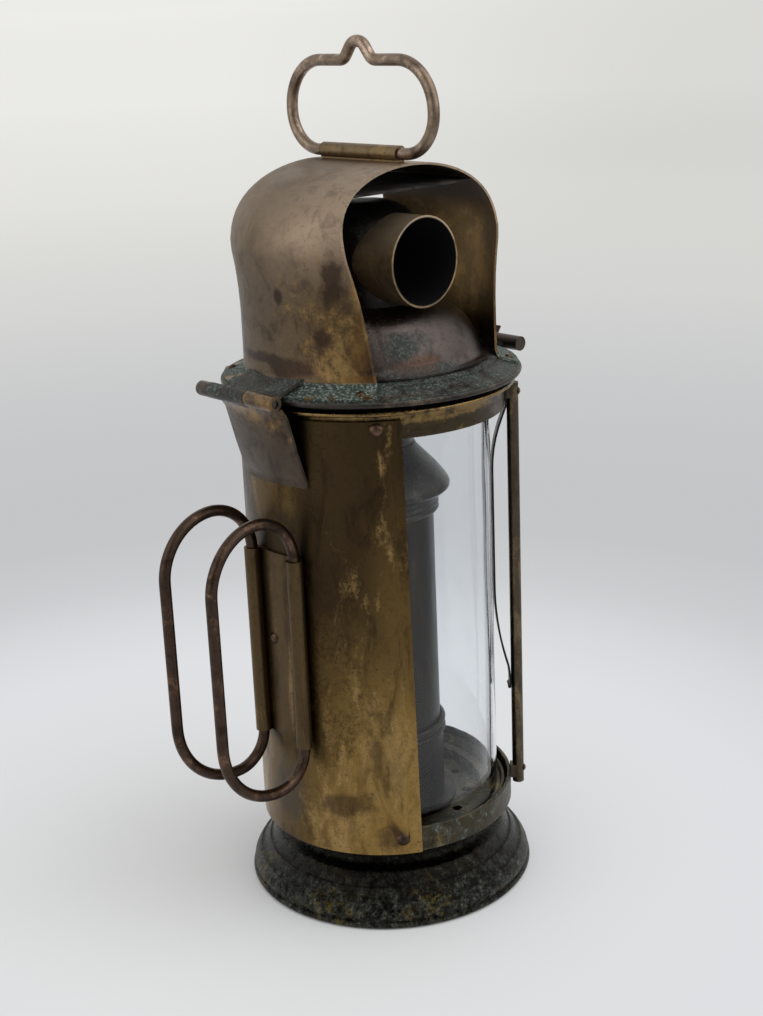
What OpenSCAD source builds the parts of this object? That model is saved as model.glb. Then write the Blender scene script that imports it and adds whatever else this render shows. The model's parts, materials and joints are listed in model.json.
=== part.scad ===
// Ship hand lantern: candle lantern with a round glass, a brass back shell, a hinged
// hooded lid, a carrying bail and two folding wire handles at the back.
// Millimetres. Origin at the centre of the underside, +Z up, the lid hinge at +Y and the
// open front of the glass at -Y. Angles are measured from +X towards +Y.

/* [Foot and pan] */
// Diameter of the foot over its rolled edge
foot_d = 104; // [102:0.5:106]
// Thickness of the spun and rolled sheet
sheet_t = 0.8; // [0.6:0.1:1]
// Radius of the wire inside the rolled edge of the foot
edge_wire_r = 1.2; // [1:0.1:1.4]
// Height of the shoulder on top of the foot
shoulder_z = 16.9; // [16:0.1:18]
// Diameter of the neck between foot and pan
neck_d = 73; // [68:1:76]
// Outer diameter of the pan and of the collar
pan_d = 91; // [90:0.5:92]
// Height of the underside of the pan
pan_z = 26.3; // [25.5:0.1:27]
// Height of the upright rim of the pan
pan_h = 9; // [8.5:0.1:9.5]

/* [Glass and shell] */
// Outer diameter of the glass
glass_d = 80.8; // [79:0.2:81]
// Wall of the glass
glass_t = 2.4; // [2:0.1:3]
// Height of the seat that the glass stands on
seat_z = 31; // [30:0.5:32]
// Height of the top of the glass
glass_top = 177; // [175:1:178]
// Angle from the centre of the back to either edge of the shell, at its middle height
shell_half = 60; // [55:0.2:64]
// Height of the top of the back shell
shell_top = 181; // [180:0.5:181.2]

/* [Collar, posts and springs] */
// Height of the lower edge of the collar
collar_z = 174.7; // [173:0.1:175.5]
// Height at which the collar turns out into its lip
lip_z = 181.6; // [181.4:0.1:182]
// Radius of the lip's outer edge
lip_r = 49.3; // [48.5:0.1:50]
// Angle from the front to either guard post
post_turn = 42.3; // [38:0.1:46]
// Radius of a guard post
post_rod_r = 2.1; // [1.8:0.1:2.2]
// Height of the lower end of the posts
post_z = 29; // [28:0.5:30]
// Width of a glass spring
spring_w = 5; // [4:0.5:6]

/* [Candle tube] */
// Outer radius of the candle tube
tube_r = 19.9; // [19.5:0.1:20.3]
// Height of the top of the candle tube
tube_top = 141; // [138:1:142]
// Height of the top of the socket that holds the tube
socket_top = 58.6; // [54:0.2:60]
// Length of the candle that is left in the tube
candle_len = 58; // [45:1:60]
// Turns of the candle spring
spring_turns = 7; // [5:1:8]

/* [Lid] */
// Radius of the lid flange over its rolled edge
flange_r = 51.6; // [51:0.1:52]
// Height of the flange at its outer edge
flange_z = 188.4; // [188:0.1:189]
// Radius of the foot of the dome
dome_r = 40.3; // [39.5:0.1:41]
// Height of the raised inner ring of the flange
step_h = 0.7; // [0.5:0.1:0.9]
// Radius of the edge of the hood's turned-out feet
hood_foot_r = 50.6; // [49:0.1:50.6]
// Radius of the smoke stack
stack_r = 17.4; // [16.5:0.1:18]
// Height of the top of the stack
stack_top = 245.6; // [244:0.2:247]
// Outer radius of the cross vent
vent_r = 14.8; // [14:0.1:15]
// Height of the axis of the cross vent
vent_z = 227.2; // [226:0.1:229]
// Length of the cross vent
vent_len = 56.6; // [55:0.2:60]

/* [Hood] */
// Radius of the hood where it stands on the flange
hood_r = 43.2; // [42.5:0.1:44]
// Radius of the hood at its shoulder
hood_wide_r = 45.1; // [44.6:0.1:45.6]
// Height of the top of the hood
hood_top = 258.5; // [258:0.1:260]
// Half of the width of the hood's sheet at its foot
mouth_foot = 32.7; // [32:0.1:33.4]
// Half of the width of the hood's sheet at its shoulder
mouth_mid = 28; // [27:0.1:29]
// Half of the width of the hood's sheet at its top
mouth_top = 23.5; // [22.5:0.1:24.5]
// Height of the baffle plate under the top of the hood
baffle_z = 250.3; // [249:0.1:251]

/* [Hinge and catch] */
// Distance from the lantern's axis to the hinge axis
hinge_y = 55.8; // [55.4:0.1:56.4]
// Height of the hinge axis
hinge_z = 188.8; // [188.4:0.1:189.2]
// Outer radius of the knuckles
knuckle_r = 2.6; // [2.4:0.1:2.7]
// Radius of the hinge pin
hinge_pin_r = 1.3; // [1.2:0.05:1.4]
// Distance from the lantern's axis to the catch bar
catch_y = 55.4; // [55:0.1:56]

/* [Bail and handles] */
// Radius of the bail wire
bail_wire_r = 1.95; // [1.8:0.05:2]
// Half of the straight length of bail inside its bracket
bail_half = 21.2; // [20:0.2:22]
// Radius of the lower bends of the bail
bail_low_r = 13; // [12:0.1:14]
// Radius of the upper bends of the bail
bail_top_r = 15.6; // [14:0.1:17]
// Radius of the handle wire
handle_wire_r = 1.95; // [1.8:0.05:2]
// Angle from the centre of the back to either handle pivot
handle_turn = 12.9; // [12:0.1:14]
// Radius of the circle through the handle pivots
handle_pivot_r = 49.3; // [49.1:0.1:49.5]
// Reach of a handle from its pivot to its outer leg
handle_reach = 37; // [35:0.5:39]
// Height of the middle of the handle pivots
handle_mid_z = 99.8; // [98:0.2:101]
// Length of the straight pivot leg of a handle
handle_leg = 67; // [66:0.2:68]
// Radius of the upper bend of a handle next to its pivot leg
handle_top_r = 17; // [15:0.5:18]
// Radius of the lower bend of a handle next to its pivot leg
handle_low_r = 12; // [11:0.5:14]
// Turn of the left handle from square to the shell, as it hangs
left_rest = -7.9; // [-12:0.1:-6]
// Turn of the right handle from square to the shell, as it hangs
right_rest = 13.9; // [10:0.1:15]

/* [Clearances] */
// Radial clearance of a turning fit
turn_gap = 0.06; // [0.03:0.01:0.09]
// Gap between neighbouring sheets that are soldered or riveted together
seam_gap = 0.03; // [0.02:0.01:0.04]

/* [Hidden] */

$fn = 96;
foot_r = foot_d / 2;
neck_r = neck_d / 2;
pan_r = pan_d / 2;
glass_r = glass_d / 2;
shell_r = pan_r + seam_gap;
shell_out = shell_r + sheet_t - 0.1;
pan_top = pan_z + pan_h;
floor_z = pan_z + sheet_t;
back = 90;
front = 270;
post_angles = [front - post_turn, front + post_turn];
post_r = shell_out + post_rod_r + 0.1;
post_top = lip_z - 0.3;
flange_in = dome_r - 2;
flange_slope = 0.304;
shell_lean = 0.74;
hood_shoulder = 234.9;
hood_edge_y = 35.3;
hood_sheet = sheet_t - 0.06;
hood_rivet_turn = 43.3;
step_r = 43.3;
dome_foot = flange_z + (flange_r - dome_r - 0.8) * flange_slope + step_h + seam_gap;
dome_h = 19.6;
leaf_half = 13.2;
leaf_tilt = 22.3;
apron_half = 15.6;
apron_z = 158.4;
knuckles = [-15.8, -2.4, 16.8];
pin_end = 23.3;
knuckle_gap = 0.15;
bail_z = hood_top + bail_wire_r + 0.75;
bracket_r = bail_wire_r + turn_gap + 0.6;
mount_tube_r = handle_wire_r + turn_gap + 0.75;
mount_half = 33.8;
rivet_r = 2.25;
spring_t = 0.7;
tube_in = tube_r - 0.7;
candle_r = tube_in - 0.6;
follower_top = 96;
follower_h = 6;
tube_foot = 32;
cap_z = tube_top - 3;

// Height of the top of the flange at radius r
function flange_top(r) = flange_z + (flange_r - r) * flange_slope;
// Corners of a strip of thickness t laid along the line p on its right-hand side
function beside(p, t) = [
    for (i = [len(p) - 1:-1:0])
        let (
            q = p[min(i + 1, len(p) - 1)] - p[max(i - 1, 0)],
            n = [q[1], -q[0]] / norm(q)
        ) p[i] + t * n
];
function strip(p, t) = concat(p, beside(p, t));
// Line p with n points for each of its stretches, rounded through its corners
function curve(p, n = 4) = concat(
    [
        for (i = [0:len(p) - 2]) for (j = [0:n - 1])
            let (
                t = j / n, b = p[i], c = p[i + 1],
                a = p[max(i - 1, 0)], d = p[min(i + 2, len(p) - 1)]
            ) b + 0.5 * t * (c - a + t * (2 * a - 5 * b + 4 * c - d + t * (3 * (b - c) + d - a)))
    ],
    [p[len(p) - 1]]
);

// Body of revolution of a rounded sheet, from its outer line p and thickness t
module spun(p, t) {
    rotate_extrude() polygon(concat(curve(p), curve(beside(p, t))));
}

// Ring of round section
module ring(r, wire, z) {
    translate([0, 0, z]) rotate_extrude() translate([r, 0]) circle(wire, $fn = 32);
}

// Tube standing on height z
module pipe(r_out, r_in, h, z) {
    translate([0, 0, z]) difference() {
        cylinder(h, r = r_out);
        translate([0, 0, -1]) cylinder(h + 2, r = r_in);
    }
}

// Domed rivet head whose flat side lies on the origin, pointing along +X
module rivet_head(r) {
    rotate([0, 90, 0]) intersection() {
        translate([0, 0, -r * 0.6]) sphere(r * 1.17, $fn = 32);
        cylinder(r, r = r * 1.2, $fn = 32);
    }
}

// Children placed at angle a, distance r and height z, with +X pointing outwards
module around(a, r, z) {
    rotate([0, 0, a]) translate([r, 0, z]) children();
}

// Rod along +X from x0 to x1
module rod_x(r, x0, x1) {
    translate([x0, 0, 0]) rotate([0, 90, 0]) cylinder(x1 - x0, r = r, $fn = 48);
}

// Wire of radius r drawn from the origin along +X in the XY plane. A step is [length, 0]
// for a straight or [radius, turn] for a bend, which goes left when turn is positive.
module wire(r, steps, i = 0) {
    if (i < len(steps)) {
        size = steps[i][0];
        turn = steps[i][1];
        if (turn == 0) {
            rod_x(r, 0, size);
            translate([size, 0, 0]) wire(r, steps, i + 1);
        } else {
            centre = [0, sign(turn) * size, 0];
            rotate([turn > 0 ? 0 : 180, 0, 0]) translate([0, size, 0]) rotate([0, 0, -90])
                rotate_extrude(angle = abs(turn)) translate([size, 0]) circle(r, $fn = 48);
            translate(centre) rotate([0, 0, turn]) translate(-centre) wire(r, steps, i + 1);
        }
    }
}

/* ---------- foot and pan ---------- */

module foot() {
    line = [
        [foot_r - 0.9, 2 * edge_wire_r + seam_gap],
        [foot_r - 0.6, 3.8], [foot_r - 1.1, 5.6], [foot_r - 2.8, 8.3], [foot_r - 3.6, 8.5],
        [foot_r - 4.3, 9.3], [foot_r - 6.5, 12.4], [foot_r - 7.3, 12.6],
        [foot_r - 8, 13.8], [foot_r - 9.9, shoulder_z - 0.5], [foot_r - 10.9, shoulder_z],
        [neck_r + 1.8, shoulder_z + 0.2], [neck_r + 0.4, shoulder_z + 1.2],
        [neck_r, shoulder_z + 3], [neck_r + 0.4, pan_z - 3.4], [neck_r + 2, pan_z - 1.5],
        [neck_r + 4, pan_z - 0.95]
    ];
    color("darkslategray") spun([for (i = [len(line) - 1:-1:0]) line[i]], sheet_t);
}

module foot_edge_wire() {
    color("sienna") ring(foot_r - edge_wire_r, edge_wire_r, edge_wire_r);
}

module base_plate() {
    rim = foot_r - 2 * edge_wire_r - seam_gap;
    color("dimgray") difference() {
        cylinder(sheet_t, r = rim);
        for (i = [0:5]) around(60 * i, 30, -1) cylinder(sheet_t + 2, r = 3, $fn = 32);
    }
}

module pan() {
    color("olivedrab") union() {
        difference() {
            translate([0, 0, pan_z]) cylinder(sheet_t, r = pan_r);
            for (i = [0:11]) {
                around(30 * i + 15, 29, pan_z - 1) cylinder(sheet_t + 2, r = 1.8, $fn = 32);
            }
        }
        pipe(pan_r, pan_r - sheet_t, pan_h - 0.5, pan_z);
        ring(pan_r - 0.7, 0.68, pan_top - 0.7);
    }
}

module glass_seat() {
    color("dimgray") rotate_extrude() polygon([
        [glass_r - 6, floor_z], [glass_r + 2.6, floor_z], [glass_r + 2.6, seat_z + 1.8],
        [glass_r + 1.7, seat_z + 1.8], [glass_r + 1.1, seat_z], [glass_r - 6, seat_z]
    ]);
}

module candle_socket() {
    wall = tube_r + seam_gap;
    color("gray") difference() {
        union() {
            pipe(wall + 0.9, wall, socket_top - floor_z - 1, floor_z);
            ring(wall + 0.9, 0.9, socket_top - 1);
            ring(wall + 0.9, 0.9, socket_top - 4.4);
            pipe(wall + 5, wall - 4, 1.2, floor_z);
        }
        translate([0, 0, floor_z + 1.2]) cylinder(socket_top, r = wall);
    }
}

/* ---------- shell, collar, posts and springs ---------- */

module shell() {
    mid_z = (pan_z + shell_top) / 2;
    color("darkgoldenrod") difference() {
        rotate([0, 0, back - shell_half - 2]) rotate_extrude(angle = 2 * shell_half + 4)
            translate([shell_r, pan_z - 0.2])
            square([shell_out - shell_r, shell_top - pan_z + 0.2]);
        for (side = [-1, 1]) {
            around(back + side * shell_half, shell_r - 5, mid_z) rotate([side * shell_lean, 0, 0])
                translate([0, side > 0 ? 0 : -10, -100]) cube([10, 10, 200]);
        }
    }
}

module shell_rivets() {
    color("saddlebrown") for (side = [-1, 1]) {
        around(back + side * 48.7, shell_out, lip_z - 3.2) rivet_head(rivet_r);
        around(back + side * 53, shell_out, pan_z + 5.4) rivet_head(rivet_r);
    }
}

module collar() {
    lip = [
        [pan_r, collar_z], [pan_r, lip_z], [pan_r + 0.5, lip_z + 0.9],
        [pan_r + 1.6, lip_z + 1.4], [lip_r - 0.7, lip_z + 1.9]
    ];
    color("goldenrod") union() {
        rotate_extrude() polygon(concat(
            lip,
            [
                [lip_r - 0.7, lip_z + 2.7], [pan_r + 1.2, lip_z + 2.2],
                [pan_r - 0.3, lip_z + 1.6], [pan_r - sheet_t, lip_z],
                [pan_r - sheet_t, collar_z]
            ]
        ));
        ring(lip_r - 0.75, 0.75, lip_z + 2.4);
    }
}

module guard_posts() {
    color("saddlebrown") for (a = post_angles) {
        around(a, post_r, post_z) union() {
            cylinder(post_top - post_z, r = post_rod_r, $fn = 32);
            translate([pan_r - post_r + seam_gap, -2, 2])
                cube([post_r - pan_r - seam_gap, 4, 5]);
            translate([pan_r - post_r + spring_t + 0.06, -2, collar_z + 1.2 - post_z])
                cube([post_r - pan_r - spring_t - 0.06, 4, 4.6]);
        }
    }
}

module post_rivets() {
    color("sienna") for (a = post_angles) {
        around(a, post_r + post_rod_r, post_z + 5.2) rivet_head(1.3);
        around(a, post_r + post_rod_r, collar_z + 3.4) rivet_head(1.3);
    }
}

module glass() {
    color("lightcyan", 0.35) pipe(glass_r, glass_r - glass_t, glass_top - seat_z, seat_z);
}

// Distance of a glass spring's middle from the lantern's axis at height z
function spring_r(z) = min(
    pan_r + seam_gap + spring_t / 2,
    glass_r + 0.45
    + (z > 150.8 ? pow(z - 150.8, 2) / 96 : 0)
    + (z < 107 ? pow(107 - z, 2) / 214 : 0)
);

module glass_springs() {
    top = lip_z - 0.8;
    tip = 68;
    count = 30;
    line = [
        for (i = [count:-1:0])
            let (z = tip + (top - tip) * i / count) [spring_r(z) + spring_t / 2, z]
    ];
    color("darkslategray") for (a = post_angles) {
        rotate([0, 0, a]) rotate([90, 0, 0]) union() {
            translate([0, 0, -spring_w / 2]) linear_extrude(spring_w)
                polygon(strip(line, spring_t));
            translate([line[count][0] - 0.65, tip, -spring_w / 2])
                cylinder(spring_w, r = 0.6, $fn = 32);
        }
    }
}

/* ---------- candle ---------- */

module candle_tube() {
    color("gray") union() {
        pipe(tube_r, tube_in, tube_top - tube_foot, tube_foot);
        pipe(tube_r, 6, 1, tube_foot);
    }
}

// Coil spring whose surface points follow a helix
module candle_spring() {
    foot_at = tube_foot + 1.8;
    height = follower_top - follower_h - foot_at - 0.8;
    coil_r = 15;
    wire = 0.7;
    sides = 6;
    steps = 16 * spring_turns;
    points = [
        for (i = [0:steps]) for (k = [0:sides - 1])
            let (
                turn = 360 * spring_turns * i / steps,
                s = 360 * k / sides,
                r = coil_r + wire * cos(s)
            ) [r * cos(turn), r * sin(turn), foot_at + height * i / steps + wire * sin(s)]
    ];
    walls = [
        for (i = [0:steps - 1]) for (k = [0:sides - 1])
            let (n = (k + 1) % sides)
            [i * sides + k, (i + 1) * sides + k, (i + 1) * sides + n, i * sides + n]
    ];
    ends = [
        [for (k = [0:sides - 1]) k],
        [for (k = [sides - 1:-1:0]) steps * sides + k]
    ];
    color("silver") polyhedron(points, concat(walls, ends));
}

module follower() {
    color("silver") translate([0, 0, follower_top - follower_h]) difference() {
        cylinder(follower_h, r = tube_in - 0.1);
        translate([0, 0, -1]) cylinder(follower_h - 0.2, r = tube_in - 1);
    }
}

module candle() {
    body = candle_len - 9;
    color("ivory") translate([0, 0, follower_top + seam_gap]) union() {
        cylinder(body, r = candle_r);
        translate([0, 0, body]) cylinder(5, r1 = candle_r - 1.2, r2 = 7);
    }
}

module wick() {
    color("dimgray") translate([0, 0, follower_top + candle_len - 4 + 2 * seam_gap])
        cylinder(7, r = 0.9, $fn = 32);
}

module tube_cap() {
    bore = tube_r + turn_gap;
    lip = bore + 0.5;
    cap = [
        [bore, cap_z], [bore + 1.4, cap_z], [bore + 1.9, cap_z + 0.8],
        [bore + 1.4, cap_z + 1.8], [bore + 1.9, cap_z + 2.8], [bore + 1.4, cap_z + 3.8],
        [bore + 1.9, cap_z + 4.8], [lip + 1.6, cap_z + 6], [lip + 4.2, cap_z + 7.4],
        [lip + 5.3, cap_z + 8.4], [lip + 5.5, cap_z + 9.4], [lip + 5.1, cap_z + 10.6],
        [lip + 4.1, cap_z + 12], [lip + 0.8, cap_z + 16.2],
        [bore - 5, cap_z + 22.8], [bore - 5.6, cap_z + 24], [bore - 6.6, cap_z + 24.4],
        [bore - 7.2, cap_z + 26.4], [bore - 12, cap_z + 27.2], [bore - 12, cap_z + 26.3],
        [bore - 8.2, cap_z + 25.4], [bore - 1.2, cap_z + 17],
        [bore - 0.6, cap_z + 15.8], [bore - 0.6, tube_top + 0.4], [bore, tube_top + 0.4]
    ];
    color("black") rotate_extrude() polygon(cap);
}

/* ---------- hinge, catch and handle mount ---------- */

// Hinge knuckle on the hinge axis between x0 and x1, bored for the pin
module knuckle(x0, x1) {
    translate([0, hinge_y, hinge_z]) rod_x(knuckle_r, x0, x1);
}

module hinge_bore() {
    translate([0, hinge_y, hinge_z]) rod_x(hinge_pin_r + turn_gap, -40, 40);
}

module hinge_apron() {
    foot_at = shell_out + seam_gap;
    flare = [
        [foot_at, apron_z], [foot_at + 0.1, apron_z + 2], [foot_at + 1.2, apron_z + 4.6],
        [foot_at + 3.4, apron_z + 12], [foot_at + 5.3, apron_z + 19.3],
        [foot_at + 6.8, apron_z + 25], [foot_at + 9.2, apron_z + 28.4]
    ];
    color("peru") difference() {
        union() {
            intersection() {
                rotate([0, 0, back - 24]) rotate_extrude(angle = 48)
                    polygon(strip([for (i = [len(flare) - 1:-1:0]) flare[i]], -0.9));
                translate([-apron_half, 20, apron_z - 1]) cube([2 * apron_half, 60, 40]);
            }
            knuckle(knuckles[0], knuckles[1] - knuckle_gap);
        }
        hinge_bore();
        translate([0, hinge_y, hinge_z])
            rod_x(knuckle_r + 0.35, knuckles[1] - knuckle_gap, pin_end + 1);
    }
}

module hinge_pin() {
    shank = knuckles[2] - knuckles[0] - 0.5 + knuckle_gap;
    head = knuckle_r - 0.1;
    barrel = pin_end - knuckles[2] - 1.6;
    color("sienna") translate([knuckles[0] + 0.5, hinge_y, hinge_z]) rotate([0, 90, 0])
        rotate_extrude() polygon(concat(
            [[0, 0], [hinge_pin_r, 0], [hinge_pin_r, shank], [head, shank]],
            [for (a = [0:15:75]) [head * cos(a), shank + barrel + 1.6 * sin(a)]],
            [[0, shank + barrel + 1.6]]
        ));
}

module catch_clip() {
    thick = 0.7;
    lap = -pan_r - seam_gap - thick;
    side = catch_y + knuckle_r + 0.25;
    line = [
        [-side - 1.6, hinge_z + 5], [-side, hinge_z + 2.6], [-side, collar_z + 6],
        [-side + 3, collar_z + 2.6], [lap - 2, collar_z], [lap, collar_z + 0.8], [lap, lip_z - 1]
    ];
    half_w = 5;
    color("sienna") translate([-half_w, 0, 0]) rotate([90, 0, 90])
        linear_extrude(2 * half_w) polygon(strip(line, thick));
}

module handle_mount() {
    foot_at = shell_out + seam_gap;
    color("saddlebrown") difference() {
        union() {
            rotate([0, 0, back - handle_turn]) rotate_extrude(angle = 2 * handle_turn)
                translate([foot_at, handle_mid_z - mount_half])
                square([0.9, 2 * mount_half]);
            for (side = [-1, 1]) {
                around(back + side * handle_turn, handle_pivot_r, handle_mid_z - mount_half)
                    cylinder(2 * mount_half, r = mount_tube_r, $fn = 48);
            }
        }
        for (side = [-1, 1]) {
            around(back + side * handle_turn, handle_pivot_r, handle_mid_z - 60)
                cylinder(120, r = handle_wire_r + turn_gap, $fn = 48);
        }
    }
}

module handle_rivet() {
    color("peru") around(back - 4, shell_out + seam_gap + 0.92, handle_mid_z + 2.2)
        rivet_head(2);
}

// Loop of wire: its pivot leg stands on the Z axis and the loop reaches along +X
module handle_loop() {
    out_top = handle_reach - handle_top_r;
    out_low = handle_reach - handle_low_r;
    outer_leg = handle_leg + handle_top_r + handle_low_r - out_top - out_low;
    rotate([90, 0, 0]) rotate([0, 0, 90]) translate([-handle_leg / 2, 0, 0])
        wire(handle_wire_r, [
            [handle_leg, 0], [handle_top_r, -90], [out_top, -90],
            [outer_leg, 0], [out_low, -90], [handle_low_r, -90]
        ]);
}

// Handle on the side of the back given by side, turned by rest from square to the shell
module handle(side, rest) {
    around(back + side * handle_turn, handle_pivot_r, handle_mid_z)
        rotate([0, 0, rest]) handle_loop();
}

module handle_left() {
    color("saddlebrown") handle(1, left_rest);
}

module handle_right() {
    color("saddlebrown") handle(-1, right_rest);
}

/* ---------- lid ---------- */

module flange() {
    ring_top = flange_top(dome_r + 0.8) + step_h;
    color("seagreen") union() {
        rotate_extrude() polygon([
            [flange_in, flange_top(flange_in) - 0.9],
            [flange_r - 0.8, flange_top(flange_r) - 0.9],
            [flange_r - 0.8, flange_top(flange_r - 0.8)],
            [step_r, flange_top(step_r)], [step_r, flange_top(step_r) + step_h],
            [dome_r + 0.8, ring_top], [flange_in, ring_top]
        ]);
        ring(flange_r - 1, 1, flange_z - 0.9);
    }
}

module flange_spigot() {
    r = flange_r - 9;
    color("dimgray") rotate_extrude() polygon([
        [r - 0.8, 179], [r, 179], [r, flange_top(r) - 1.05], [r - 0.8, flange_top(r) - 1.05]
    ]);
}

// Flat leaf lying on a foot of the hood, reaching from the hood out to distance y
module leaf(half, y) {
    lift = step_h + sheet_t + 0.25;
    difference() {
        translate([0, hood_r, flange_top(hood_r) + lift]) rotate([-leaf_tilt, 0, 0])
            translate([-half, -9, 0]) cube([2 * half, y - hood_r + 9, 0.9]);
        pipe(hood_r + 0.9, 1, 40, 170);
    }
}

module lid_leaf() {
    from = knuckles[1] + knuckle_gap;
    to = knuckles[2] - knuckle_gap;
    color("seagreen") difference() {
        union() {
            leaf(leaf_half, hinge_y - 1.5);
            knuckle(from, to);
        }
        hinge_bore();
        for (x = [[-40, from], [to, 40]]) {
            translate([0, hinge_y, hinge_z]) rod_x(knuckle_r + 0.35, x[0], x[1]);
        }
    }
}

module lid_rivets() {
    at = 47.5;
    color("sienna") for (a = [back, front]) for (side = [-1, 1]) {
        around(a + side * hood_rivet_turn, at, flange_top(at) + sheet_t + 0.12)
            rotate([0, atan(flange_slope) - 90, 0]) rivet_head(1.5);
    }
}

module dome() {
    line = [
        [stack_r - 3, dome_h], [stack_r + 2, dome_h - 0.2], [23.4, dome_h - 0.9],
        [26.6, dome_h - 2], [29.6, dome_h - 3.5], [31.8, dome_h - 5.3], [33.8, dome_h - 7.6],
        [35.7, dome_h - 10.8], [37, dome_h - 14.1], [dome_r - 2.5, 3],
        [dome_r - 1.6, 1.7], [dome_r, 1.15], [dome_r + 0.6, 0.95]
    ];
    color("rosybrown") translate([0, 0, dome_foot]) spun(line, sheet_t);
}

module stack() {
    foot_at = dome_foot + dome_h + seam_gap;
    side_top = stack_top - 9;
    shoulder = [
        for (a = [0:15:90]) [stack_r - 13 + 13 * cos(a), side_top + 9 * sin(a)]
    ];
    hole = vent_r + seam_gap;
    color("black") difference() {
        rotate_extrude() polygon(concat(
            [[stack_r - 1, foot_at], [stack_r, foot_at]], shoulder,
            [[0, stack_top], [0, stack_top - 1], [stack_r - 13, stack_top - 1]],
            [for (a = [75:-15:0]) [stack_r - 13 + 12 * cos(a), side_top + 8 * sin(a)]]
        ));
        translate([0, 0, vent_z]) rod_x(hole, -vent_len, vent_len);
    }
}

module cross_vent() {
    half = vent_len / 2;
    color("dimgray") translate([0, 0, vent_z]) difference() {
        union() {
            rod_x(vent_r, -half, half);
            for (x = [-half, half - 0.9]) rod_x(vent_r + 0.15, x, x + 0.9);
        }
        rod_x(vent_r - 0.8, -half - 1, half + 1);
        translate([0, 0, -40]) cylinder(40, r = 10);
    }
}

// Half width of the hood's sheet at height z
function hood_width(z) = z < hood_shoulder
    ? mouth_foot + (mouth_mid - mouth_foot) * (z - 192) / (hood_shoulder - 192)
    : mouth_mid + (mouth_top - mouth_mid) * (z - hood_shoulder) / (hood_top - hood_shoulder);
// How far a circle of radius r drops away over half a chord x
function sag(r, x) = r - sqrt(r * r - x * x);

// Middle line of half of the hood, from the edge of a foot to the crown. Each row is
// [distance from the axis, height, half width, radius of its curve, share of that curve]
hood_rise = hood_top - hood_shoulder;
foot_share = mouth_foot / hood_r;
hood_feet = [
    for (p = [
        [hood_foot_r, 0.86], [47.5, 0.86], [45, 0.86], [44.4, 1.08], [43.9, 1.85]
    ]) [p[0], flange_top(p[0]) + p[1], p[0] * foot_share, p[0], 1]
];
hood_walls = [
    for (p = [
        [hood_r + 0.1, 194.2], [hood_r, 203], [hood_r, 212], [hood_r + 0.3, 219],
        [hood_r + 1, 226], [hood_r + 1.7, 231]
    ]) [p[0], p[1], hood_width(p[1]), p[0], 1]
];
hood_arch = [
    for (a = [0:6:90])
        let (
            z = hood_shoulder + hood_rise * pow(sin(a), 0.79),
            share = pow(cos(a), 2),
            w = hood_width(z)
        ) [hood_edge_y * cos(a) + share * sag(hood_wide_r, w), z, w, hood_wide_r, share]
];
hood_half = concat(hood_feet, hood_walls, hood_arch);
hood_last = len(hood_half) - 1;

// Row i of the hood's sheet, moved inwards by depth
function hood_row(i, depth) =
    let (
        row = hood_half[i],
        q = i == hood_last ? [-1, 0] : [
            hood_half[i + 1][0] - hood_half[max(i - 1, 0)][0],
            hood_half[i + 1][1] - hood_half[max(i - 1, 0)][1]
        ],
        n = depth * [q[1], -q[0]] / norm(q)
    ) [row[0] - n[0], row[1] - n[1], row[2], row[3] - n[0], row[4]];

// Sheet of the hood: two feet, two walls curved round the dome and an arched top
module hood() {
    cells = 12;
    across = cells + 1;
    rows = 2 * hood_last + 1;
    size = rows * across;
    points = [
        for (depth = [0, hood_sheet]) for (i = [0:rows - 1])
            let (row = hood_row(min(i, 2 * hood_last - i), depth), side = i > hood_last ? -1 : 1)
            for (j = [0:cells])
                let (x = row[2] * (2 * j / cells - 1))
                [x, side * (row[0] - row[4] * sag(row[3], x)), row[1]]
    ];
    faces = concat(
        [
            for (i = [0:rows - 2]) for (j = [0:cells - 1])
                let (k = i * across + j) [k, k + 1, k + 1 + across, k + across]
        ],
        [
            for (i = [0:rows - 2]) for (j = [0:cells - 1])
                let (k = size + i * across + j) [k, k + across, k + 1 + across, k + 1]
        ],
        [
            for (i = [0:rows - 2])
                let (k = i * across) [k, k + across, k + across + size, k + size]
        ],
        [
            for (i = [0:rows - 2])
                let (k = i * across + cells) [k, k + size, k + across + size, k + across]
        ],
        [for (j = [0:cells - 1]) [j + 1, j, j + size, j + 1 + size]],
        [
            for (j = [0:cells - 1])
                let (k = (rows - 1) * across + j) [k, k + 1, k + 1 + size, k + size]
        ]
    );
    color("tan") polyhedron(points, faces);
}

// Flat plate across the hood above the stack, cut to the curve of the walls
module hood_baffle() {
    half = hood_width(baffle_z + 0.7) - 0.2;
    middle_y = 30.7;
    steps = 12;
    edge = [
        for (i = [0:steps])
            let (x = half * (2 * i / steps - 1)) [x, middle_y - 0.62 * sag(hood_wide_r, x)]
    ];
    color("dimgray") translate([0, 0, baffle_z]) linear_extrude(0.7) polygon(concat(
        edge, [for (i = [steps:-1:0]) [edge[i][0], -edge[i][1]]]
    ));
}

/* ---------- bail and catch ---------- */

module bail_bracket() {
    half = bail_half - 2.7;
    color("peru") difference() {
        union() {
            translate([0, 0, bail_z]) rod_x(bracket_r, -half, half);
            translate([-half, -1.6, hood_top + seam_gap]) cube([2 * half, 3.2, 1.2]);
        }
        translate([0, 0, bail_z]) rod_x(bail_wire_r + turn_gap, -half - 1, half + 1);
    }
}

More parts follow.
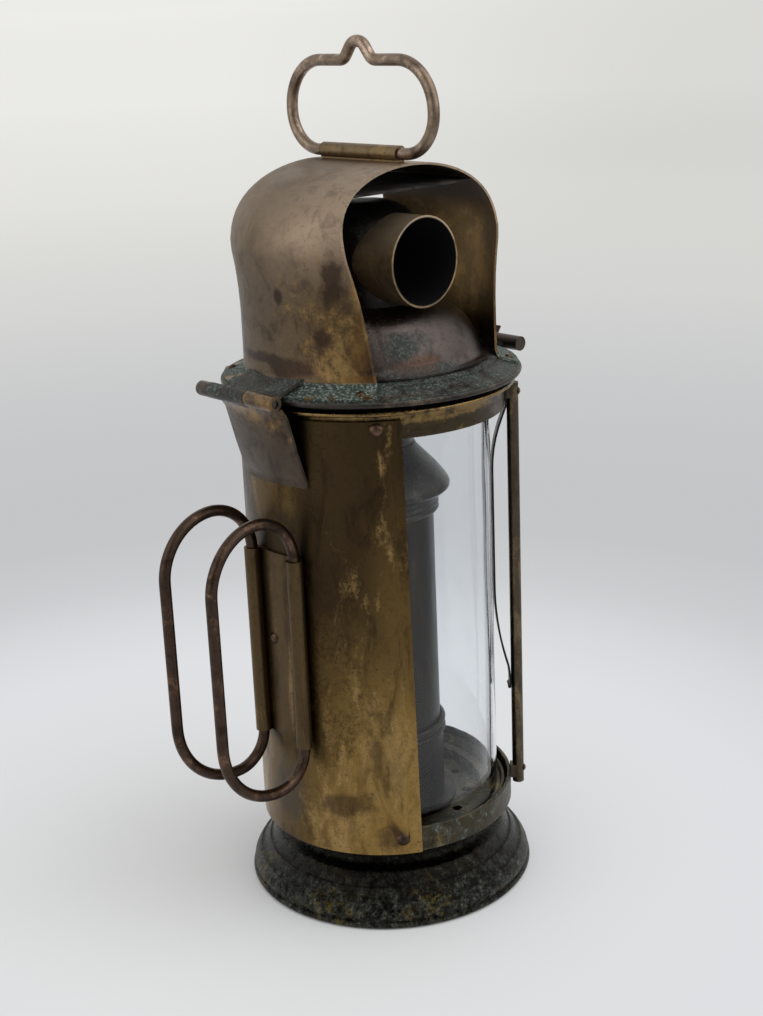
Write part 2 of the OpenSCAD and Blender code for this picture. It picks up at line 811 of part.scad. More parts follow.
// Ring of wire with a raised peak in the middle of its top
module bail() {
    steep = 2 * atan(0.5);
    turn_r = 3.6;
    peak_r = 4.6;
    rise = 5.9 - (turn_r + peak_r) * (1 - cos(steep));
    slope = [rise / sin(steep), 0];
    top_half = bail_half + bail_low_r - bail_top_r;
    flat = [top_half - (turn_r + peak_r) * sin(steep) - rise / tan(steep), 0];
    low = [bail_low_r, 90];
    high = [bail_top_r, 90];
    leg = [0.6, 0];
    color("sienna") translate([0, 0, bail_z]) rotate([90, 0, 0])
        translate([-bail_half, 0, 0]) wire(bail_wire_r, [
            [2 * bail_half, 0], low, leg, high, flat, [turn_r, -steep], slope,
            [peak_r, 2 * steep], slope, [turn_r, -steep], flat, high, leg, low
        ]);
}

module catch_bar() {
    half = 19;
    color("olive") union() {
        translate([0, -catch_y, hinge_z + 0.8]) rod_x(knuckle_r, -half, half);
        rotate([0, 0, 180]) leaf(leaf_half, catch_y);
    }
}

foot();
foot_edge_wire();
base_plate();
pan();
glass_seat();
candle_socket();
shell();
shell_rivets();
collar();
guard_posts();
post_rivets();
glass();
glass_springs();
candle_tube();
candle_spring();
follower();
candle();
wick();
tube_cap();
hinge_apron();
hinge_pin();
catch_clip();
handle_mount();
handle_rivet();
handle_left();
handle_right();
flange();
flange_spigot();
lid_leaf();
lid_rivets();
dome();
stack();
cross_vent();
hood();
hood_baffle();
bail_bracket();
bail();
catch_bar();
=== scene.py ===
"""Looks of the ship lantern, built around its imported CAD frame. Metres, +Z up."""

import json
import math

import bpy
import numpy as np
from mathutils import Matrix, Vector

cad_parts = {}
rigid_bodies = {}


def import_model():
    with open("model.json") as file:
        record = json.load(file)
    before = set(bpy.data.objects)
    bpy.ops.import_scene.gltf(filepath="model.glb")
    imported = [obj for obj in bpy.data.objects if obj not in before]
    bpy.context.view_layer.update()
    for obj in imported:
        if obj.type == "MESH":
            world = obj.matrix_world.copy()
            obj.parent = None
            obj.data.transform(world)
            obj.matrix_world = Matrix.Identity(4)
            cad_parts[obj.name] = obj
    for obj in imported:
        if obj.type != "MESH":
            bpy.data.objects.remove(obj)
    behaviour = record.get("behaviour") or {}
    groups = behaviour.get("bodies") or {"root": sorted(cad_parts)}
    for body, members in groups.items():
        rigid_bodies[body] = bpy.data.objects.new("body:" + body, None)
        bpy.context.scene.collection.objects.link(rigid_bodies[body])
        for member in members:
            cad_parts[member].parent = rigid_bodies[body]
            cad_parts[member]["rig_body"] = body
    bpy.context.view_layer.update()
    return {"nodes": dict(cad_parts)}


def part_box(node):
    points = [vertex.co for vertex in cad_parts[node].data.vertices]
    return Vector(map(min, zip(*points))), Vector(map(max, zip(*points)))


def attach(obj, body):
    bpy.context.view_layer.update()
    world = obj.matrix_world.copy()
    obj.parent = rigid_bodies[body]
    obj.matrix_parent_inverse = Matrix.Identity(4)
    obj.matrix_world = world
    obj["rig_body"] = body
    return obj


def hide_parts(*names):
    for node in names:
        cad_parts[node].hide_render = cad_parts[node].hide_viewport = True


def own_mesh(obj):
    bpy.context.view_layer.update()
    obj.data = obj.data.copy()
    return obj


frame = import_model()
MM = 0.001


# ---------------------------------------------------------------- shader tools


class Paint:
    """A material's node tree, with one short method for each kind of node."""

    def __init__(self, name):
        self.material = bpy.data.materials.new(name)
        self.material.use_nodes = True
        self.tree = self.material.node_tree
        self.tree.nodes.clear()
        self.coordinates = self.add("ShaderNodeTexCoord")
        self.place = self.coordinates.outputs["Object"]

    def add(self, kind, **settings):
        """New node of a kind, with its settings made."""
        node = self.tree.nodes.new(kind)
        for key, value in settings.items():
            setattr(node, key, value)
        return node

    def put(self, socket, value):
        """Link a socket to another one, or give it a value; a colour gets its alpha."""
        if isinstance(value, bpy.types.NodeSocket):
            self.tree.links.new(value, socket)
        elif isinstance(value, tuple) and len(value) == 3 and len(socket.default_value) == 4:
            socket.default_value = (*value, 1.0)
        else:
            socket.default_value = value

    def stretched(self, along):
        """Place with each axis scaled, so that a texture runs in streaks."""
        node = self.add("ShaderNodeMapping")
        self.put(node.inputs["Vector"], self.place)
        self.put(node.inputs["Scale"], along)
        return node.outputs["Vector"]

    def noise(self, size, detail=4.0, rough=0.55, warp=0.0, place=None):
        """Noise from 0 to 1 whose lumps are about size metres across."""
        node = self.add("ShaderNodeTexNoise")
        self.put(node.inputs["Vector"], place or self.place)
        self.put(node.inputs["Scale"], 1.0 / size)
        self.put(node.inputs["Detail"], detail)
        self.put(node.inputs["Roughness"], rough)
        self.put(node.inputs["Distortion"], warp)
        return node.outputs["Fac"]

    def between(self, value, low, high, start=0.0, end=1.0):
        """Value mapped so that low gives start and high gives end, smoothly and clamped."""
        node = self.add("ShaderNodeMapRange", interpolation_type="SMOOTHSTEP")
        self.put(node.inputs["Value"], value)
        self.put(node.inputs["From Min"], low)
        self.put(node.inputs["From Max"], high)
        self.put(node.inputs["To Min"], start)
        self.put(node.inputs["To Max"], end)
        return node.outputs["Result"]

    def math(self, operation, a, b=0.0):
        """Result of one sum on two values."""
        node = self.add("ShaderNodeMath", operation=operation)
        self.put(node.inputs[0], a)
        self.put(node.inputs[1], b)
        return node.outputs[0]

    def mix(self, share, a, b):
        """Colour a where share is 0 and colour b where it is 1."""
        node = self.add("ShaderNodeMix", data_type="RGBA")
        self.put(node.inputs["Factor"], share)
        self.put(node.inputs["A"], a)
        self.put(node.inputs["B"], b)
        return node.outputs["Result"]

    def axis(self, name):
        """Place along one axis, in metres."""
        node = self.add("ShaderNodeSeparateXYZ")
        self.put(node.inputs[0], self.place)
        return node.outputs[name]

    def spot(self, centre, size, ragged=0.5, grain=0.012):
        """Soft mask round a place, in mm, whose edge is broken up by noise."""
        shift = self.add("ShaderNodeVectorMath", operation="SUBTRACT")
        self.put(shift.inputs[0], self.place)
        self.put(shift.inputs[1], tuple(c * MM for c in centre))
        squash = self.add("ShaderNodeVectorMath", operation="DIVIDE")
        self.put(squash.inputs[0], shift.outputs[0])
        self.put(squash.inputs[1], tuple(s * MM for s in size))
        length = self.add("ShaderNodeVectorMath", operation="LENGTH")
        self.put(length.inputs[0], squash.outputs[0])
        torn = self.noise(grain, 6.0, 0.7)
        edge = self.math("MULTIPLY", self.math("SUBTRACT", torn, 0.5), 5 * ragged)
        return self.between(self.math("ADD", length.outputs["Value"], edge), 1.3, 0.55)

    def inside(self, centre_z):
        """1 where the surface faces a point on the lantern's axis, 0 where it faces away."""
        shift = self.add("ShaderNodeVectorMath", operation="SUBTRACT")
        self.put(shift.inputs[0], self.place)
        self.put(shift.inputs[1], (0.0, 0.0, centre_z))
        facing = self.add("ShaderNodeVectorMath", operation="DOT_PRODUCT")
        self.put(facing.inputs[0], shift.outputs[0])
        self.put(facing.inputs[1], self.coordinates.outputs["Normal"])
        return self.between(facing.outputs["Value"], 2 * MM, -2 * MM)

    def from_back(self):
        """Angle round the axis, in degrees, from the middle of the back."""
        across = self.math("ABSOLUTE", self.axis("X"))
        return self.math("DEGREES", self.math("ARCTAN2", across, self.axis("Y")))

    def all_of(self, first, *others):
        """Mask where all the masks hold: their product."""
        for other in others:
            first = self.math("MULTIPLY", first, other)
        return first

    def any_of(self, first, *others):
        """Mask where any of the masks holds: their maximum."""
        for other in others:
            first = self.math("MAXIMUM", first, other)
        return first

    def finish(self, color, rough, metal, bump, height, **more):
        """The material, with its bump height metres deep; more names other inputs."""
        surface = self.add("ShaderNodeBsdfPrincipled")
        self.put(surface.inputs["Base Color"], color)
        self.put(surface.inputs["Roughness"], rough)
        self.put(surface.inputs["Metallic"], metal)
        for key, value in more.items():
            self.put(surface.inputs[key.replace("_", " ")], value)
        node = self.add("ShaderNodeBump")
        self.put(node.inputs["Height"], bump)
        self.put(node.inputs["Distance"], height)
        self.put(surface.inputs["Normal"], node.outputs["Normal"])
        output = self.add("ShaderNodeOutputMaterial")
        self.put(output.inputs["Surface"], surface.outputs["BSDF"])
        return self.material


VERDIGRIS_DARK = (0.022, 0.034, 0.026)
VERDIGRIS_PALE = (0.24, 0.30, 0.26)


def grown_over(paint, mask, look, dark=VERDIGRIS_DARK, pale=VERDIGRIS_PALE):
    """Verdigris crystals over a metal where mask is 1."""
    color, rough, metal, bump = look
    crystals = paint.noise(0.9 * MM, 4.0, 0.7)
    green = paint.mix(paint.between(crystals, 0.47, 0.66), dark, pale)
    color = paint.mix(mask, color, green)
    rough = paint.math("ADD", rough, paint.math("MULTIPLY", mask, 0.3))
    metal = paint.math("MULTIPLY", metal, paint.math("SUBTRACT", 1.0, mask))
    lumps = paint.math("MULTIPLY", paint.all_of(mask, crystals), 2.0)
    return color, rough, metal, paint.math("ADD", bump, lumps)


def worn_metal(paint, bright, dull, dark, wear=0.5, streak=(1.0, 1.0, 1.0), patch=16 * MM,
               rubbed=None, film=None):
    """Tarnished metal: bright metal breaking through a dull film, with dark pits and clouds.

    wear is the share that shines; rubbed is a mask that adds to it, standing for rubbing, and on
    the shell also for painted reflection; film is a colour that stands in for dull."""
    place = paint.stretched(streak)
    cloud = paint.noise(patch, 5.0, 0.62, 0.6, place)
    blotch = paint.noise(5 * MM, 5.0, 0.68, 0.3, place)
    fine = paint.noise(1.1 * MM, 5.0, 0.75)
    level = paint.math("ADD", paint.math("MULTIPLY", cloud, 0.45),
                       paint.math("MULTIPLY", blotch, 0.33))
    level = paint.math("ADD", level, paint.math("MULTIPLY", fine, 0.22))
    if rubbed is not None:
        level = paint.math("ADD", level, paint.math("MULTIPLY", rubbed, 0.12))
    worn = paint.between(level, 0.60 - 0.2 * wear, 0.71 - 0.2 * wear)
    color = paint.mix(worn, dull if film is None else film, bright)
    shade = paint.between(paint.noise(9 * MM, 5.0, 0.65, 0.8, place), 0.48, 0.68)
    color = paint.mix(paint.math("MULTIPLY", shade, 0.6), color, dark)
    specks = paint.between(paint.noise(2.4 * MM, 9.0, 0.92), 0.50, 0.64)
    color = paint.mix(paint.math("MULTIPLY", specks, 0.5), color, dark)
    pits = paint.all_of(paint.between(fine, 0.58, 0.68), paint.between(blotch, 0.42, 0.6))
    color = paint.mix(paint.math("MULTIPLY", pits, 0.8), color, dark)
    rough = paint.between(level, 0.40, 0.62, 0.42, 0.27)
    rough = paint.math("ADD", rough, paint.math("MULTIPLY", pits, 0.25))
    waves = paint.math("MULTIPLY", paint.noise(34 * MM, 2.0, 0.4), 2.6)
    bump = paint.math("ADD", waves, paint.math("MULTIPLY", fine, 0.35))
    bump = paint.math("SUBTRACT", bump, paint.math("MULTIPLY", pits, 0.3))
    return color, rough, 1.0, bump


# ---------------------------------------------------------------- materials


def shell_brass():
    """Back shell: brown film above, golden low down and forward, the golden side edges partly a
    painted reflection; a raised strip at its edges.
    """
    paint = Paint("shell_brass")
    turn = paint.from_back()
    low = paint.between(paint.axis("Z"), 132 * MM, 55 * MM)
    # forward and edge paint the film golden towards both side edges. This is partly a painted
    # reflection, where the edges turn towards the lamps. golden, passed to worn_metal as its rubbed
    # mask, also brightens the metal there.
    forward = paint.between(turn, 0.0, 50.0, 0.3, 1.0)
    below = paint.between(paint.axis("Z"), 172 * MM, 110 * MM, 0.0, 0.4)
    edge = paint.all_of(paint.between(turn, 36.0, 54.0), below)
    top = paint.math("MULTIPLY", paint.spot((6, 46, 157), (14, 8, 12), 0.4), 0.35)
    golden = paint.any_of(paint.all_of(low, forward), edge, top)
    film = paint.mix(golden, (0.052, 0.034, 0.016), (0.270, 0.168, 0.052))
    color, rough, metal, bump = worn_metal(
        paint, (0.340, 0.220, 0.085), (0.05, 0.034, 0.018), (0.022, 0.013, 0.008), 0.22,
        (1.0, 1.0, 0.35), 18 * MM, golden, film)
    band = paint.all_of(paint.between(turn, 12.0, 20.0), paint.between(turn, 46.0, 34.0),
                        paint.between(paint.axis("Z"), 48 * MM, 70 * MM),
                        paint.between(paint.axis("Z"), 150 * MM, 125 * MM))
    grain = paint.between(paint.noise(1.5 * MM, 6.0, 0.85), 0.44, 0.60)
    patches = paint.between(paint.noise(13 * MM, 4.0, 0.6), 0.36, 0.56)
    crust = paint.math("MULTIPLY", paint.all_of(band, grain, patches), 0.75)
    color = paint.mix(crust, color, (0.040, 0.024, 0.012))
    stain = paint.any_of(
        paint.spot((-34, 30, 32), (5, 5, 5)), paint.spot((34, 30, 32), (5, 5, 5)),
        paint.spot((-4, 46, 104), (3, 3, 6)), paint.spot((10, 45, 66), (7, 7, 5)),
        paint.spot((-8, 45, 135), (3, 3, 8)), paint.spot((-22, 40, 44), (9, 9, 4)))
    grey = paint.spot((2, 46, 45), (9, 9, 12))
    color = paint.mix(paint.math("MULTIPLY", stain, 0.6), color, (0.022, 0.013, 0.012))
    color = paint.mix(paint.math("MULTIPLY", grey, 0.6), color, (0.060, 0.052, 0.044))
    lean = paint.math("MULTIPLY", paint.math("SUBTRACT", paint.axis("Z"), 104 * MM), 16.0)
    strip = paint.between(paint.math("ADD", turn, lean), 54.0, 55.0)
    bump = paint.math("ADD", bump, paint.math("MULTIPLY", strip, 1.2))
    return paint.finish(color, rough, metal, bump, 0.0004)


def apron_brass():
    """Hinge plate: smooth grey-brown film, mottled gold towards the hinge."""
    paint = Paint("apron_brass")
    top = paint.between(paint.axis("Z"), 172 * MM, 184 * MM)
    look = worn_metal(
        paint, (0.25, 0.150, 0.070), (0.098, 0.076, 0.056), (0.02, 0.016, 0.012), 0.12,
        (1.0, 1.0, 0.7), 12 * MM, top)
    return paint.finish(*look, 0.0003)


def collar_brass():
    """Collar: brown brass, rubbed bright along its lip."""
    paint = Paint("collar_brass")
    high = paint.between(paint.axis("Z"), 178.5 * MM, 180.5 * MM)
    look = worn_metal(
        paint, (0.24, 0.155, 0.062), (0.060, 0.046, 0.028), (0.016, 0.012, 0.010), 0.38,
        (1.0, 1.0, 1.6), 12 * MM, high)
    return paint.finish(*look, 0.0003)


def mount_brass():
    """Handle mount and bail bracket: streaked brown brass, the bracket lighter."""
    paint = Paint("mount_brass")
    lifted = paint.between(paint.axis("Z"), 180 * MM, 250 * MM)
    film = paint.mix(lifted, (0.105, 0.070, 0.034), (0.190, 0.135, 0.075))
    look = worn_metal(
        paint, (0.260, 0.165, 0.072), (0.066, 0.045, 0.028), (0.020, 0.013, 0.009), 0.42,
        (1.0, 1.0, 0.18), 10 * MM, film=film)
    return paint.finish(*look, 0.0002)


def hood_brass():
    """Hood: smooth beige film above, brown and granular gold low down, gold inside, with painted
    shade on the inner roof.
    """
    paint = Paint("hood_brass")
    low = paint.between(paint.axis("Z"), 252 * MM, 212 * MM)
    by_mouth = paint.between(paint.axis("X"), -2 * MM, -26 * MM)
    beige = paint.mix(paint.between(paint.axis("X"), 10 * MM, -25 * MM),
                      (0.205, 0.152, 0.104), (0.350, 0.265, 0.195))
    brown = paint.mix(by_mouth, (0.130, 0.096, 0.064), (0.105, 0.066, 0.030))
    film = paint.mix(low, beige, brown)
    inner = paint.inside(222 * MM)
    # roof paints the inner top dull grey-brown instead of gold: painted shade under the hood's
    # roof.
    roof = paint.between(paint.axis("Z"), 238 * MM, 246 * MM)
    lining = paint.mix(roof, (0.150, 0.100, 0.044), (0.120, 0.095, 0.080))
    film = paint.mix(inner, film, lining)
    gold = paint.all_of(low, paint.any_of(by_mouth, 0.35))
    gold = paint.any_of(gold, paint.all_of(inner, paint.math("SUBTRACT", 1.0, roof)))
    cloud = paint.mix(low, (0.150, 0.112, 0.082), (0.040, 0.027, 0.020))
    color, rough, metal, bump = worn_metal(
        paint, (0.260, 0.165, 0.065), (0.15, 0.11, 0.08), cloud, 0.06, (1.0, 1.0, 0.8), 15 * MM,
        gold, film)
    stain = paint.any_of(
        paint.spot((-20, 38, 208), (3, 3, 3), 0.3), paint.spot((-5, 43, 220), (2, 2, 3), 0.2),
        paint.spot((-24, 36, 225), (4, 4, 8)), paint.spot((6, 43, 199), (16, 16, 2)),
        paint.spot((-8, 43, 197), (9, 9, 4)), paint.spot((-32, 27, 199), (5, 5, 8)))
    stain = paint.all_of(stain, paint.math("SUBTRACT", 1.0, inner))
    color = paint.mix(paint.math("MULTIPLY", stain, 0.75), color, (0.026, 0.016, 0.014))
    rust = paint.any_of(paint.spot((-29, 31, 204), (2.5, 3, 9), 0.4),
                        paint.spot((-30, 31, 194), (9, 6, 1.6), 0.3))
    color = paint.mix(paint.math("MULTIPLY", rust, 0.45), color, (0.160, 0.080, 0.026))
    grown = paint.between(paint.axis("Z"), 193.4 * MM, 192.6 * MM)
    growth = paint.all_of(grown, paint.between(paint.noise(8 * MM, 5.0, 0.6), 0.34, 0.46))
    rough = paint.math("ADD", rough, 0.12)
    metal = paint.math("SUBTRACT", 1.0, paint.all_of(inner, roof, 0.8))
    look = grown_over(paint, growth, (color, rough, metal, bump))
    return paint.finish(*look, 0.0003)


def vent_brass():
    """Cross vent: brown outside, its colours raised as painted light where the hood shades it, and
    lighter on top as a painted reflection; soot inside.
    """
    paint = Paint("vent_brass")
    low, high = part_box("cross_vent")
    middle = (low + high) / 2
    wall = 0.9 * MM
    bore = (high.z - low.z) / 2 - wall
    up = paint.math("SUBTRACT", paint.axis("Z"), middle.z)
    across = paint.axis("Y")
    from_axis = paint.math("SQRT", paint.math("ADD", paint.math("MULTIPLY", up, up),
                                              paint.math("MULTIPLY", across, across)))
    soot = paint.between(from_axis, bore + 0.45 * MM, bore + 0.15 * MM)
    # These colours are painted brighter than the metal, standing in for light that the hood keeps
    # off the tube.
    color, rough, metal, bump = worn_metal(
        paint, (0.46, 0.31, 0.15), (0.27, 0.185, 0.100), (0.05, 0.036, 0.028), 0.4)
    # above paints the upper side of the tube lighter: a painted reflection of the bright room
    # above.
    above = paint.between(up, 3 * MM, 10 * MM)
    color = paint.mix(paint.math("MULTIPLY", above, 0.5), color, (0.52, 0.41, 0.30))
    color = paint.mix(soot, color, (0.010, 0.010, 0.011))
    metal = paint.math("MULTIPLY", paint.math("SUBTRACT", 1.0, soot), 0.65)
    rough = paint.math("ADD", rough, paint.math("MULTIPLY", soot, 0.45))
    gloss = paint.math("MULTIPLY", paint.math("SUBTRACT", 1.0, soot), 0.5)
    return paint.finish(color, rough, metal, bump, 0.0003, Specular_IOR_Level=gloss)


def pan_brass():
    """Pan and the ring under the glass: brass half grown over."""
    paint = Paint("pan_brass")
    look = worn_metal(
        paint, (0.24, 0.175, 0.080), (0.062, 0.054, 0.034), (0.012, 0.012, 0.010), 0.5)
    growth = paint.between(paint.noise(5 * MM, 5.0, 0.65), 0.50, 0.66)
    look = grown_over(paint, paint.math("MULTIPLY", growth, 0.8), look)
    return paint.finish(*look, 0.0003)


def foot_patina():
    """Foot: almost black above, dull green and olive crystals towards the rim."""
    paint = Paint("foot_patina")
    look = worn_metal(
        paint, (0.036, 0.028, 0.015), (0.007, 0.006, 0.005), (0.002, 0.002, 0.002), 0.25)
    rim = paint.between(paint.axis("Z"), 14 * MM, 7 * MM, 0.2, 1.0)
    growth = paint.between(paint.noise(3.0 * MM, 6.0, 0.8), 0.40, 0.64)
    look = grown_over(paint, paint.all_of(growth, rim), look,
                      (0.014, 0.016, 0.010), (0.140, 0.155, 0.105))
    color, rough, metal, bump = look
    mustard = paint.between(paint.noise(3.2 * MM, 5.0, 0.75), 0.50, 0.64)
    place = paint.any_of(paint.between(paint.noise(15 * MM, 3.0), 0.52, 0.60),
                         paint.spot((-15, 43, 5), (14, 9, 5), 0.5))
    mustard = paint.all_of(mustard, place, rim)
    color = paint.mix(paint.math("MULTIPLY", mustard, 0.8), color, (0.150, 0.110, 0.022))
    rough = paint.math("MULTIPLY", rough, 0.72)
    return paint.finish(color, rough, metal, bump, 0.0004)


def lid_copper():
    """Dome: grey film over copper, one dark verdigris patch and dull red spots."""
    paint = Paint("lid_copper")
    look = worn_metal(
        paint, (0.170, 0.110, 0.088), (0.092, 0.076, 0.070), (0.022, 0.018, 0.018), 0.32)
    growth = paint.any_of(
        paint.spot((-33, 17, 203), (7, 10, 5), 0.6), paint.spot((-36, 12, 194), (8, 16, 2), 0.4),
        paint.spot((-22, 30, 210), (9, 9, 5), 0.6))
    color, rough, metal, bump = grown_over(
        paint, paint.math("MULTIPLY", growth, 0.9), look, (0.014, 0.020, 0.018),
        (0.105, 0.130, 0.115))
    rust = paint.any_of(paint.spot((-37, 11, 197), (4, 6, 4), 0.6),
                        paint.spot((-35, 18, 196), (3, 5, 3), 0.6))
    color = paint.mix(paint.math("MULTIPLY", rust, 0.65), color, (0.080, 0.042, 0.027))
    return paint.finish(color, rough, metal, bump, 0.0003)


def lid_verdigris():
    """Flange and hinge leaf: pale granular verdigris on dark brass."""
    paint = Paint("lid_verdigris")
    look = worn_metal(
        paint, (0.140, 0.108, 0.080), (0.052, 0.046, 0.040), (0.014, 0.012, 0.011), 0.45)
    growth = paint.between(paint.noise(7 * MM, 6.0, 0.7), 0.38, 0.58)
    outside = paint.between(paint.axis("Z"), 187.8 * MM, 188.8 * MM)
    look = grown_over(paint, paint.all_of(growth, outside), look, (0.020, 0.027, 0.022),
                      (0.150, 0.175, 0.150))
    return paint.finish(*look, 0.0004)


def bar_brass():
    """Barrels of the hinge and catch: brown brass with a grey-green film."""
    paint = Paint("bar_brass")
    look = worn_metal(
        paint, (0.16, 0.110, 0.078), (0.078, 0.064, 0.054), (0.02, 0.016, 0.014), 0.45,
        (0.4, 1.0, 1.0), 9 * MM)
    growth = paint.between(paint.noise(7 * MM, 5.0, 0.6), 0.54, 0.70)
    look = grown_over(paint, paint.math("MULTIPLY", growth, 0.5), look)
    return paint.finish(*look, 0.0002)


def rubbed_wire():
    """Handles, rivets and catch clip: red-brown metal, rubbed in places."""
    paint = Paint("rubbed_wire")
    look = worn_metal(
        paint, (0.190, 0.110, 0.070), (0.066, 0.043, 0.031), (0.016, 0.011, 0.009), 0.42,
        patch=8 * MM)
    return paint.finish(*look, 0.0001)


def bail_wire():
    """Bail: lighter and greyer than the handles, rubbed by carrying."""
    paint = Paint("bail_wire")
    look = worn_metal(
        paint, (0.460, 0.345, 0.265), (0.230, 0.172, 0.126), (0.045, 0.031, 0.025), 0.5,
        patch=8 * MM)
    return paint.finish(*look, 0.0001)


def post_wire():
    """Guard posts: dull olive-brown brass with small pits."""
    paint = Paint("post_wire")
    look = worn_metal(
        paint, (0.210, 0.155, 0.090), (0.090, 0.070, 0.048), (0.018, 0.014, 0.010), 0.48,
        (1.0, 1.0, 0.35), 8 * MM)
    return paint.finish(*look, 0.0002)


def sooty_sheet():
    """Black sooty sheet with a little verdigris where rings stand out."""
    paint = Paint("sooty_sheet")
    look = worn_metal(
        paint, (0.060, 0.046, 0.034), (0.014, 0.012, 0.010), (0.005, 0.005, 0.005), 0.4)
    growth = paint.between(paint.noise(5 * MM, 5.0, 0.7), 0.56, 0.70)
    color, rough, metal, bump = grown_over(
        paint, paint.math("MULTIPLY", growth, 0.35), look, pale=(0.13, 0.15, 0.13))
    return paint.finish(color, rough, 0.7, bump, 0.0002)


def soot_plate():
    """Plate above the stack: dull soot."""
    paint = Paint("soot_plate")
    cloud = paint.noise(7 * MM, 5.0, 0.6)
    color = paint.mix(paint.between(cloud, 0.42, 0.6), (0.016, 0.014, 0.013), (0.040, 0.035, 0.032))
    return paint.finish(color, 0.85, 0.0, cloud, 0.0003, Specular_IOR_Level=0.15)


def tinned_sheet():
    """Candle tube and socket: dull grey-brown tin, stained darker in streaks."""
    paint = Paint("tinned_sheet")
    look = worn_metal(
        paint, (0.060, 0.048, 0.036), (0.024, 0.019, 0.015), (0.010, 0.008, 0.006), 0.46,
        (1.0, 1.0, 0.2))
    return paint.finish(*look, 0.0001)


def spring_steel():
    """Feed spring: grey steel."""
    paint = Paint("spring_steel")
    fine = paint.noise(2 * MM, 5.0, 0.6)
    color = paint.mix(fine, (0.30, 0.29, 0.28), (0.50, 0.49, 0.47))
    return paint.finish(color, paint.between(fine, 0.3, 0.7, 0.25, 0.45), 1.0, fine, 0.00005)


def candle_wax():
    """Candle: cream wax."""
    paint = Paint("candle_wax")
    cloud = paint.noise(9 * MM, 3.0, 0.5)
    color = paint.mix(cloud, (0.80, 0.74, 0.58), (0.90, 0.87, 0.76))
    return paint.finish(color, 0.45, 0.0, cloud, 0.0004, Subsurface_Weight=0.2)


def wick_cotton():
    """Wick: scorched cotton."""
    paint = Paint("wick_cotton")
    braid = paint.noise(0.6 * MM, 3.0, 0.6)
    color = paint.mix(braid, (0.05, 0.04, 0.035), (0.30, 0.27, 0.22))
    return paint.finish(color, 0.9, 0.0, braid, 0.0003)


def old_glass():
    """Clear glass that lets light through to what it covers."""
    paint = Paint("old_glass")
    ripple = paint.noise(26 * MM, 1.0, 0.3, 0.4, paint.stretched((1.0, 1.0, 0.35)))
    bump = paint.add("ShaderNodeBump")
    paint.put(bump.inputs["Height"], ripple)
    paint.put(bump.inputs["Distance"], 0.0006)
    glass = paint.add("ShaderNodeBsdfPrincipled")
    film = paint.between(paint.noise(12 * MM, 5.0, 0.6), 0.45, 0.75)
    paint.put(glass.inputs["Base Color"],
              paint.mix(film, (0.955, 0.975, 0.992), (0.925, 0.950, 0.970)))
    paint.put(glass.inputs["Roughness"], 0.0)
    paint.put(glass.inputs["IOR"], 1.34)
    paint.put(glass.inputs["Transmission Weight"], 1.0)
    paint.put(glass.inputs["Normal"], bump.outputs["Normal"])
    clear = paint.add("ShaderNodeBsdfTransparent")
    paint.put(clear.inputs["Color"], (0.93, 0.94, 0.94))
    rays = paint.add("ShaderNodeLightPath")
    shader = glass.outputs["BSDF"]
    for kind in ("Is Diffuse Ray", "Is Shadow Ray"):
        either = paint.add("ShaderNodeMixShader")
        paint.put(either.inputs[0], rays.outputs[kind])
        paint.put(either.inputs[1], shader)
        paint.put(either.inputs[2], clear.outputs["BSDF"])
        shader = either.outputs[0]
    output = paint.add("ShaderNodeOutputMaterial")
    paint.put(output.inputs["Surface"], shader)
    return paint.material


LOOKS = {
    shell_brass: ["shell"],
    apron_brass: ["hinge_apron"],
    collar_brass: ["collar"],
    mount_brass: ["handle_mount", "bail_bracket"],
    hood_brass: ["hood"],
    vent_brass: ["cross_vent"],
    pan_brass: ["pan", "glass_seat"],
    foot_patina: ["foot", "foot_edge_wire", "base_plate"],
    lid_copper: ["dome"],
    lid_verdigris: ["flange", "lid_leaf"],
    bar_brass: ["hinge_pin", "catch_bar"],
    post_wire: ["guard_posts", "post_rivets"],
    rubbed_wire: ["shell_rivets", "catch_clip", "handle_rivet", "handle_left",
                  "handle_right", "lid_rivets"],
    bail_wire: ["bail"],
    soot_plate: ["hood_baffle"],
    sooty_sheet: ["stack", "tube_cap", "flange_spigot", "glass_springs"],
    tinned_sheet: ["candle_socket", "candle_tube", "follower"],
    spring_steel: ["candle_spring"],
    candle_wax: ["candle"],
    wick_cotton: ["wick"],
    old_glass: ["glass"],
}

SHARP = math.radians(33)  # an edge that bends more than this stays sharp
WELD = 1e-6  # corners closer than this become one


def skin(node):
    """Copy of a CAD node's surface with its seams welded, shaded smooth between sharp edges."""
    source = node.data
    corners = np.empty(len(source.vertices) * 3)
    source.vertices.foreach_get("co", corners)
    places, index = np.unique(np.round(corners.reshape(-1, 3) / WELD), axis=0,
                              return_inverse=True)
    index = index.ravel()
    faces = [tuple(int(index[v]) for v in face.vertices) for face in source.polygons]
    faces = [face for face in faces if len(set(face)) == len(face)]
    mesh = bpy.data.meshes.new(node.name + "_skin")
    mesh.from_pydata((places * WELD).tolist(), [], faces)
    mesh.validate()
    mesh.shade_smooth()
    mesh.set_sharp_from_angle(angle=SHARP)
    piece = bpy.data.objects.new(node.name + "_skin", mesh)
    bpy.context.scene.collection.objects.link(piece)
    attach(piece, node["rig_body"])
    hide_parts(node.name)
    return piece


def press_spring(piece):
    """The feed spring gets a mesh of its own."""
    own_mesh(piece)


def paint_nodes():
    """Every CAD node is replaced by its skin, in its own look."""
    for look, nodes in LOOKS.items():
        material = look()
        for name in nodes:
            piece = skin(frame["nodes"][name])
            piece.data.materials.append(material)
            if name == "candle_spring":
                press_spring(piece)


# ---------------------------------------------------------------- stage


